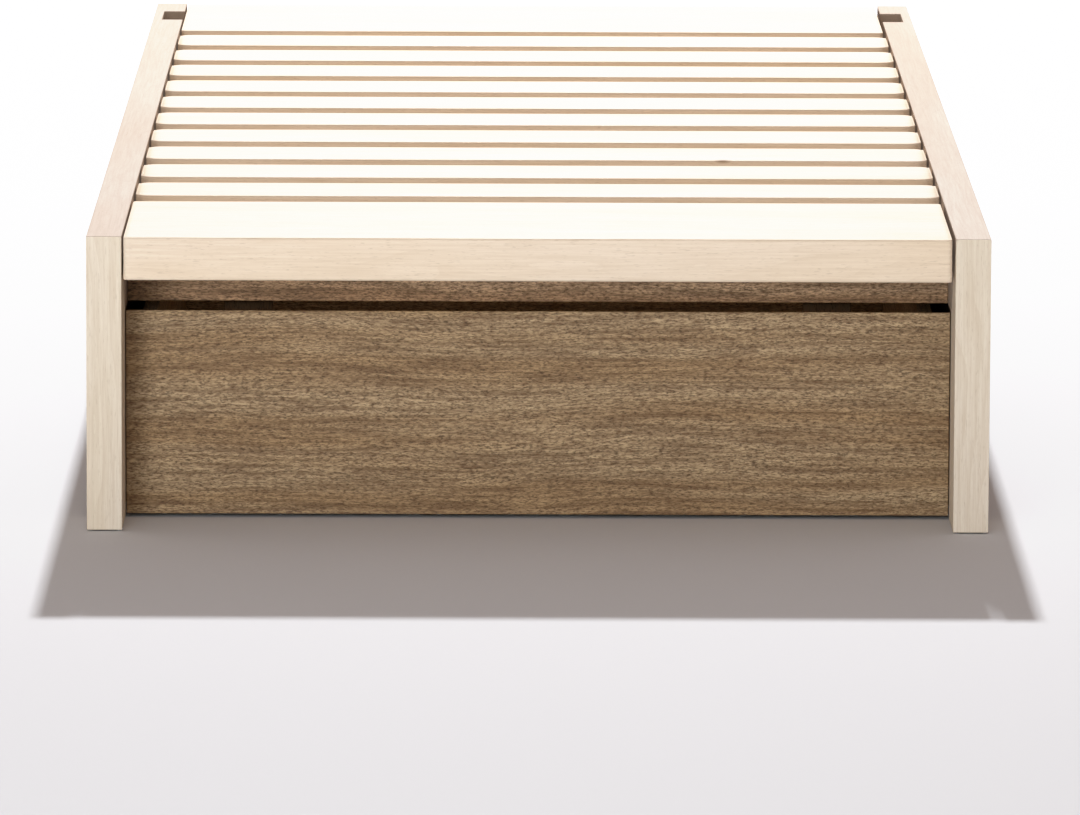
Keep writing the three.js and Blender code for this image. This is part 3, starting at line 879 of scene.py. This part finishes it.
@dataclass
class Screws:
    """Rows of screws that all sit in one body, gathered into one piece."""

    name: str
    body: str
    tree: ScrewRow
    head_radius_mm: float = 4.0
    head_height_mm: float = 1.4
    meshes: list[Mesh] = field(default_factory=list)

    def row(self, first: Vector, last: Vector, count: int, facing: Vector) -> None:
        """Adds evenly spaced screws from one seat to another.

        Args:
            first: the first head's seat on the surface.
            last: the last head's seat.
            count: how many screws, two or more.
            facing: the way that the heads face.
        """
        step = (last - first) / (count - 1)
        turn = facing.to_track_quat("Z", "Y").to_euler()
        values = {
            "Count": count, "First": first, "Step": step, "Turn": turn,
            "Head Radius": self.head_radius_mm * MM, "Head Height": self.head_height_mm * MM,
            "Material": ZINC_STEEL.material(),
        }
        self.meshes.append(self.tree.run(values))

    def drive(self) -> None:
        """Joins the rows into one piece that rides on the body."""
        shape = bmesh.new()
        for mesh in self.meshes:
            shape.from_mesh(mesh)
        joined = bpy.data.meshes.new(self.name)
        shape.to_mesh(joined)
        shape.free()
        joined.materials.append(ZINC_STEEL.material())
        piece = new_object(self.name, joined)
        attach(piece, self.body)
        LOG.info("%s: %d rows, %d faces", self.name, len(self.meshes), len(joined.polygons))


# ---- Sub-assemblies ----


@dataclass
class SideFrame:
    """One side of the bed: a mitred rail and posts round a thin panel, with its cleat, guide and glides."""

    side: str
    edge_ease_mm: float = 0.8
    panel_ease_mm: float = 0.4
    glide_ease_mm: float = 0.6

    def build(self) -> None:
        """Makes the frame's pieces and dresses them."""
        lengthwise = RAIL_MAPLE.material(Grain.LENGTHWISE)
        for end in ("foot", "head"):
            finish(f"{self.side}_{end}_post", self.edge_ease_mm, POST_MAPLE.material(Grain.UPRIGHT))
            finish(f"{self.side}_{end}_glide", self.glide_ease_mm, FELT.material())
        for part in ("top_rail", "low_rail", "slat_cleat", "drawer_guide"):
            finish(f"{self.side}_{part}", self.edge_ease_mm, lengthwise)
        finish(f"{self.side}_infill_panel", self.panel_ease_mm, lengthwise)


@dataclass
class Platform:
    """The slatted platform: a wide board at each end and narrow slats between."""

    tree: BoardRow
    edge_radius_mm: float = 3.0
    end_ease_mm: float = 1.0
    slat_corner_mm: float = 13.0
    end_board_corner_mm: float = 2.0
    slat_play_mm: Pair = (0.8, 0.8)
    end_board_play_mm: Pair = (0.6, 2.4)
    seed: int = 4

    def build(self) -> None:
        """Makes the boards from the frame's own sizes and dresses them."""
        slats = sorted(node for node in frame["nodes"] if node.startswith("slat_"))
        self._boards("slats", slats, self.slat_corner_mm, self.slat_play_mm, self.seed)
        for step, end in enumerate(("foot", "head"), start=1):
            corner, play = self.end_board_corner_mm, self.end_board_play_mm
            self._boards(f"{end}_board_planed", [f"{end}_board"], corner, play, self.seed + step)

    def _boards(self, name: str, nodes: list[str], corner_mm: float, play_mm: Pair, seed: int) -> None:
        """Makes one row of like boards in the place of its CAD nodes.

        Args:
            name: the new piece's name.
            nodes: the CAD boards, in order along the bed.
            corner_mm: the radius of the boards' corners as seen from above.
            play_mm: how much shorter the boards are cut at the left and at the right end.
            seed: picks the parts of the trunk that they are cut from.
        """
        low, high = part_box(nodes[0])
        left, right = (play * MM for play in play_mm)
        aside = Vector(((left - right) / 2, 0.0, 0.0))
        first = (low + high) / 2 + aside
        last = sum(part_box(nodes[-1]), Vector()) / 2 + aside
        size = high - low
        maple = SLAT_MAPLE.material(Grain.ACROSS)
        values = {
            "Count": len(nodes), "First": first, "Step": (last - first) / max(len(nodes) - 1, 1),
            "Length": size.x - left - right, "Width": size.y, "Thickness": size.z,
            "Edge Radius": self.edge_radius_mm * MM, "End Ease": self.end_ease_mm * MM,
            "Corner Radius": corner_mm * MM, "Seed": seed, "Material": maple,
        }
        install(new_object(name, self.tree.run(values)), maple, nodes)


@dataclass
class CrossMembers:
    """The rail and panels that tie the side frames together, with the drawer's stops and bumpers."""

    edge_ease_mm: float = 0.8
    block_ease_mm: float = 1.2

    def build(self) -> None:
        """Makes the members and dresses them."""
        # The foot rail's oak is lightened as painted light for its recess under the foot board.
        finish("foot_rail", self.edge_ease_mm, HEART_OAK_PAINTED_LIGHT.material(Grain.ACROSS))
        finish("head_panel", self.edge_ease_mm, SMOKED_OAK.material(Grain.ACROSS))
        finish("middle_panel", self.edge_ease_mm, BIRCH_PLY.material(1))
        for side in SIDES:
            stop = f"{side}_drawer_stop"
            # The stop blocks get the darkened oak: painted shade for the cavity behind the finger gap.
            finish(stop, self.block_ease_mm, PAINTED_SHADE_OAK.material(Grain.UPRIGHT))
            dress(f"{side}_closing_bumper", RUBBER.material())


@dataclass
class Drawer:
    """The drawer: an open smoked oak box behind a wide smoked oak front."""

    front_ease_mm: float = 1.2
    box_ease_mm: float = 0.6

    def build(self) -> None:
        """Makes the front and the box and dresses them."""
        finish("drawer_front", self.front_ease_mm, SMOKED_OAK.material(Grain.ACROSS), segments=3)
        for node in ("drawer_box_front", "drawer_back", "drawer_bottom"):
            finish(node, self.box_ease_mm, SMOKED_OAK.material(Grain.ACROSS))
        for side in SIDES:
            node = f"drawer_{side}_side"
            finish(node, self.box_ease_mm, SMOKED_OAK.material(Grain.LENGTHWISE))


@dataclass
class Castor:
    """A fixed castor: a pressed bracket, a riveted axle and a moulded wheel."""

    place: str
    bracket_ease_mm: float = 0.3
    tread_round_mm: float = 3.0
    dish_mm: float = 2.0
    rim_mm: float = 4.5
    hub_radius_mm: float = 7.0
    bore_radius_mm: float = 3.15
    groove_mm: float = 0.5
    steps: int = 64

    def build(self) -> None:
        """Makes the bracket and wheel, and dresses the axle."""
        finish(f"{self.place}_castor_bracket", self.bracket_ease_mm, ZINC_STEEL.material(), segments=1)
        dress(f"{self.place}_castor_axle", ZINC_STEEL.material())
        wheel = f"{self.place}_castor_wheel"
        low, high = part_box(wheel)
        size = high - low
        profile = self._profile(size.z / 2, size.x / 2)
        piece = turned(f"{wheel}_moulded", profile, (low + high) / 2, self.steps)
        install(piece, NYLON.material(), [wheel])

    def _profile(self, radius: float, face: float) -> list[Pair]:
        """Draws the wheel's section, all the way round.

        Args:
            radius: the wheel's radius.
            face: half its width.

        Returns:
            Radius and distance from the wheel's middle of each corner.
        """
        rounding, dish, groove = self.tread_round_mm * MM, self.dish_mm * MM, self.groove_mm * MM
        rim, hub = radius - self.rim_mm * MM, self.hub_radius_mm * MM
        quarter = [math.radians(a) for a in (0, 22.5, 45, 67.5, 90)]
        half = [(radius - groove, 0.0), (radius - groove, 3 * groove), (radius, 4 * groove)]
        inner, side = radius - rounding, face - rounding
        half += [(inner + rounding * math.cos(a), side + rounding * math.sin(a)) for a in quarter]
        half += [(rim, face), (rim - dish / 2, face - dish), (hub + dish / 2, face - dish), (hub, face)]
        half += [(self.bore_radius_mm * MM, face)]
        return half + [(r, -x) for r, x in reversed(half[1:])]


@dataclass
class Fastenings:
    """The screws that can be seen once the drawer is out or the bed is turned over."""

    tree: ScrewRow
    cleat_screws: int = 9
    guide_screws: int = 6
    guide_head_mm: float = 0.8
    castor_head_radius_mm: float = 3.2
    castor_inset_mm: float = 6.5
    castor_plate_mm: float = 2.0
    end_inset_mm: float = 60.0

    def build(self) -> None:
        """Drives the screws of the frame and of the drawer."""
        self._frame_screws()
        self._guide_screws()
        self._castor_screws()

    def _along(self, node: str, side: str, screws: Screws, count: int) -> None:
        """Drives a row along the inner face of a strip on a side frame.

        Args:
            node: the strip.
            side: the side frame that it is on.
            screws: the piece that the row goes in.
            count: how many screws.
        """
        low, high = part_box(node)
        inward = 1.0 if side == "left" else -1.0
        x = high.x if side == "left" else low.x
        inset = self.end_inset_mm * MM
        z = (low.z + high.z) / 2
        screws.row(Vector((x, low.y + inset, z)), Vector((x, high.y - inset, z)), count, Vector((inward, 0, 0)))

    def _frame_screws(self) -> None:
        """Screws the cleats to the side frames and the stop blocks to the foot rail."""
        screws = Screws("frame_screws", "frame", self.tree)
        for side in SIDES:
            self._along(f"{side}_slat_cleat", side, screws, self.cleat_screws)
            low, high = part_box(f"{side}_drawer_stop")
            rail_low, rail_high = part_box("foot_rail")
            quarter = (rail_high.z - rail_low.z) / 4
            seats = [Vector(((low.x + high.x) / 2, high.y, z)) for z in (rail_low.z + quarter, high.z - quarter)]
            screws.row(*seats, 2, Vector((0, 1, 0)))
        screws.drive()

    def _guide_screws(self) -> None:
        """Screws the guide strips on with flatter heads, clear of the drawer."""
        screws = Screws("guide_screws", "frame", self.tree, head_height_mm=self.guide_head_mm)
        for side in SIDES:
            self._along(f"{side}_drawer_guide", side, screws, self.guide_screws)
        screws.drive()

    def _castor_screws(self) -> None:
        """Screws each castor's plate up into the drawer bottom."""
        screws = Screws("castor_screws", "drawer", self.tree, head_radius_mm=self.castor_head_radius_mm)
        inset = self.castor_inset_mm * MM
        for node in sorted(n for n in frame["nodes"] if n.endswith("_castor_bracket")):
            low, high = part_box(node)
            seat = high.z - self.castor_plate_mm * MM
            for x in (low.x + inset, high.x - inset):
                screws.row(
                    Vector((x, low.y + inset, seat)), Vector((x, high.y - inset, seat)), 2, Vector((0, 0, -1))
                )
        screws.drive()


# ---- Studio ----


@dataclass(frozen=True)
class Lamp:
    """An area light that the camera does not see, placed and aimed from the middle of the foot end."""

    name: str
    place: Triple
    aim: Triple
    size: Pair
    power: float
    colour: str
    spread: float = 180.0

    def hang(self, foot: Vector) -> None:
        """Hangs the lamp in the scene.

        Args:
            foot: the middle of the foot end, on the floor.
        """
        light = bpy.data.lights.new(self.name, "AREA")
        light.shape = "RECTANGLE"
        light.size, light.size_y = self.size
        light.energy = self.power
        light.color = linear(self.colour)[:3]
        light.spread = math.radians(self.spread)
        lamp = bpy.data.objects.new(self.name, light)
        place, aim = foot + Vector(self.place), foot + Vector(self.aim)
        lamp.location = place
        lamp.rotation_euler = (aim - place).to_track_quat("-Z", "Y").to_euler()
        lamp.visible_camera = False
        bpy.context.scene.collection.objects.link(lamp)


# A small far lamp behind the head end makes the crisp shadow; two wide ones before the foot end fill it in.
LAMPS = (
    Lamp("key", (0.034, 7.95, 5.27), (0.0, 1.0, 0.1), (0.26, 0.26), 1230.0, "#FFFFFF"),
    Lamp("low fill", (-1.5, -5.0, 0.32), (-0.25, 0.0, 0.8), (2.4, 0.3), 8.0, "#F5FBFF", 30.0),
    Lamp("high fill", (-0.8, -4.6, 1.3), (0.0, 0.0, 0.2), (2.4, 0.8), 50.0, "#F0FCFF"),
)


@dataclass
class Studio:
    """A plain pale floor, lamps, pale air and the long lens."""

    floor_size: float = 160.0
    floor_colour: str = "#D3D6DC"
    floor_roughness: float = 0.9
    floor_gloss: float = 0.5
    sky_colour: str = "#FFE9DC"
    sky_strength: float = 0.42
    backdrop: float = 1.4
    camera_place: Triple = (-0.043, -9.386, 1.650)
    pitch: float = 9.201
    yaw: float = 0.274
    roll: float = 0.234
    lens: float = 311.2
    sensor: float = 36.0
    far_end: float = 200.0
    shoulder: tuple[Pair, ...] = (
        (0.0, 0.0), (0.88, 0.88), (1.0, 0.95), (1.12, 0.98), (1.35, 0.995), (1.8, 1.0)
    )

    def build(self) -> None:
        """Makes the floor, lamps, sky and camera."""
        foot = Vector((0.0, CAD_BOX[0].y, 0.0))
        self._floor()
        for lamp in LAMPS:
            lamp.hang(foot)
        self._sky()
        self._camera(foot)
        self._film()

    def _floor(self) -> None:
        """Lays the floor as a plane that reaches past every view, painted with a soft sheen."""
        half = self.floor_size / 2
        mesh = bpy.data.meshes.new("floor")
        corners = [(-half, -half, 0.0), (half, -half, 0.0), (half, half, 0.0), (-half, half, 0.0)]
        mesh.from_pydata(corners, [], [(0, 1, 2, 3)])
        material, add = new_material("studio floor, satin paint")
        look = {"Roughness": self.floor_roughness, "Specular IOR Level": self.floor_gloss}
        shader = add("ShaderNodeBsdfPrincipled", {"Base Color": linear(self.floor_colour), **look})
        add("ShaderNodeOutputMaterial", {"Surface": shader})
        mesh.materials.append(material)
        new_object("floor", mesh)

    def _sky(self) -> None:
        """Surrounds the set with a dim warm light that looks pale to the camera."""
        world = bpy.data.worlds.new("studio air")
        bpy.context.scene.world = world
        world.use_nodes = True
        world.node_tree.nodes.clear()
        add = partial(add_node, world.node_tree)
        light = {"Color": linear(self.sky_colour), "Strength": self.sky_strength}
        dim = add("ShaderNodeBackground", light)
        pale = add("ShaderNodeBackground", {"Color": linear("#FFFFFF"), "Strength": self.backdrop})
        seen = add("ShaderNodeLightPath").outputs["Is Camera Ray"]
        both = add("ShaderNodeMixShader", {0: seen, 1: dim, 2: pale})
        add("ShaderNodeOutputWorld", {"Surface": both})

    def _camera(self, foot: Vector) -> None:
        """Stands the camera before the foot end, level with a tall person's eyes.

        Args:
            foot: the middle of the foot end, on the floor.
        """
        data = bpy.data.cameras.new("camera")
        data.lens = self.lens
        data.sensor_width = self.sensor
        data.clip_end = self.far_end
        camera = bpy.data.objects.new("camera", data)
        turn = (
            Matrix.Rotation(-math.radians(self.yaw), 4, "Z")
            @ Matrix.Rotation(math.radians(90.0 - self.pitch), 4, "X")
            @ Matrix.Rotation(math.radians(self.roll), 4, "Z")
        )
        camera.matrix_world = Matrix.Translation(foot + Vector(self.camera_place)) @ turn
        bpy.context.scene.collection.objects.link(camera)
        bpy.context.scene.camera = camera

    def _film(self) -> None:
        """Gives the camera a soft shoulder, so that the brightest wood and floor do not burn out."""
        view = bpy.context.scene.view_settings
        view.view_transform = "Standard"
        view.use_curve_mapping = True
        mapping = view.curve_mapping
        mapping.clip_max_x = self.shoulder[-1][0]
        _, _, _, combined = mapping.curves
        points = combined.points
        while len(points) < len(self.shoulder):
            points.new(1.0, 1.0)
        for point, place in zip(points, self.shoulder):
            point.location = place
            point.handle_type = "VECTOR"
        mapping.update()


def main() -> None:
    """Builds the bed sub-assembly by sub-assembly, then the studio round it."""
    logging.basicConfig(level=logging.INFO, format="%(name)s: %(message)s")
    for side in SIDES:
        SideFrame(side).build()
    Platform(BoardRow()).build()
    CrossMembers().build()
    Drawer().build()
    for end in ("front", "rear"):
        for side in SIDES:
            Castor(f"{end}_{side}").build()
    Fastenings(ScrewRow()).build()
    Studio().build()


if __name__ == "__main__":
    main()
